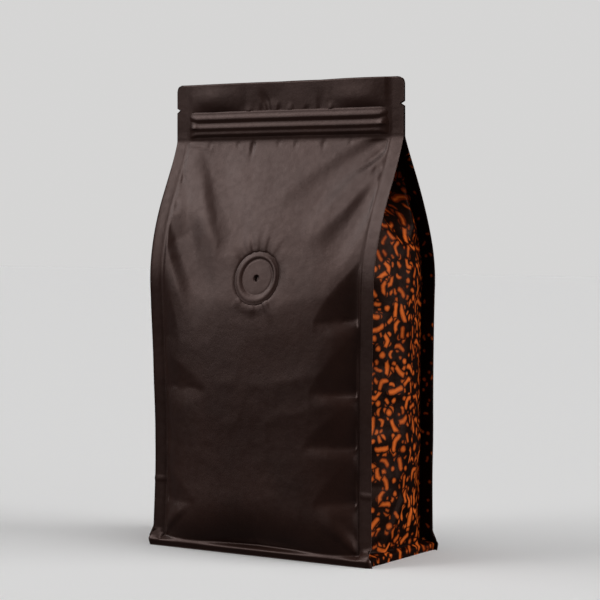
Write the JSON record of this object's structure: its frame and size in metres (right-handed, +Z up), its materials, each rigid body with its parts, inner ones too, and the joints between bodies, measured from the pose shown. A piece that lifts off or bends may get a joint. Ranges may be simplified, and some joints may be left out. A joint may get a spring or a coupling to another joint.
{
  "type": "coffee bag",
  "caption": "Upright flat-bottomed coffee bag in matt dark brown film, with a zip header, a degassing valve, corner seals and side gussets printed in orange.",
  "frame": {"origin": "middle of the base, on the surface that the bag stands on", "axes": "+Z up to the zip header, -Y out of the front panel with the valve, +X to the right as seen from the front"},
  "size_m": [0.132, 0.0732, 0.228],
  "materials": {
    "film": "matt laminated film, dark brown; the side gussets are black with an orange pattern",
    "zip": "satin film pressed over a ribbed zip strip",
    "valve": "satin film over a moulded valve"
  },
  "bodies": {
    "root": {"pouch": "film", "zipper": "zip", "valve": "valve"}
  },
  "joints": []
}
